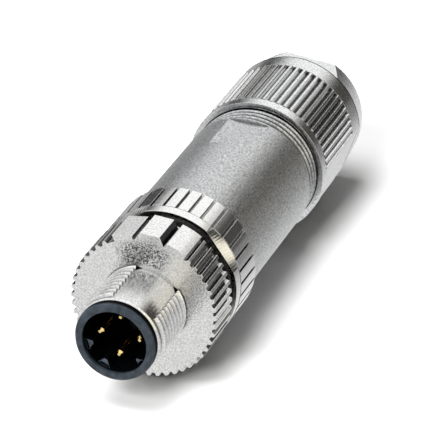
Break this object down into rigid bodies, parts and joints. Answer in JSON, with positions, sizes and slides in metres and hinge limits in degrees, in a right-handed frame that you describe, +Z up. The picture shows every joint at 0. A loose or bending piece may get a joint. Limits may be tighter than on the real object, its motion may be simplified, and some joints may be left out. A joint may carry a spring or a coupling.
{
  "type": "circular cable connector plug",
  "caption": "Field-wireable round cable plug with a metal body: open pin nose, interrupted-thread coupling nut, grip ring, plain sleeve and knurled pressure nut with a tapered tail.",
  "frame": {"origin": "on the plug's axis at the open front face of the insert nose", "axes": "+Y runs along the axis from the mating face to the cable entry; +Z is up with the plug lying on its side; the locating tab of the coupling nut is near +Z"},
  "size_m": [0.0202, 0.0748, 0.0208],
  "materials": {
    "black_plastic": "moulded, fine satin",
    "nickel_cast": "nickel-plated, cast, satin",
    "nickel_blasted": "nickel-plated, blasted, matt",
    "nickel_turned": "nickel-plated, turned and knurled, bright",
    "gold": "gold-plated, bright",
    "seal_rubber": "moulded, matt",
    "spring_steel": "plain"
  },
  "bodies": {
    "plug_body": {"contact_carrier": "black_plastic", "terminal_block": "black_plastic", "front_housing": "nickel_cast", "sleeve": "nickel_blasted", "carrier_seal": "seal_rubber", "housing_seal": "seal_rubber", "cable_seal": "seal_rubber", "coupling_retainer": "spring_steel", "shield_spring": "spring_steel", "shield_ring": "nickel_turned", "clamp_cage": "black_plastic", "contact_pin_1": "gold", "terminal_screw_1": "spring_steel", "contact_pin_2": "gold", "terminal_screw_2": "spring_steel", "contact_pin_3": "gold", "terminal_screw_3": "spring_steel", "contact_pin_4": "gold", "terminal_screw_4": "spring_steel"},
    "coupling": {"coupling_nut": "nickel_cast"},
    "gland_slip": {"thrust_ring": "black_plastic"},
    "gland_nut": {"pressure_nut": "nickel_turned"}
  },
  "joints": [
    {"name": "coupling_spin", "type": "hinge", "parent": "plug_body", "child": "coupling", "pos_m": [0, 0, 0], "axis": [0, -1, 0], "continuous": true},
    {"name": "gland_feed", "type": "slide", "parent": "plug_body", "child": "gland_slip", "axis": [0, -1, 0], "range_m": [-0.006, 0.0036]},
    {"name": "gland_turn", "type": "hinge", "parent": "gland_slip", "child": "gland_nut", "pos_m": [0, 0.06, 0], "axis": [0, -1, 0], "range_deg": [-2160, 1296]}
  ],
  "couplings": [
    {"joint": "gland_feed", "follows": "gland_turn", "m_per_rad": 0.00015915}
  ]
}
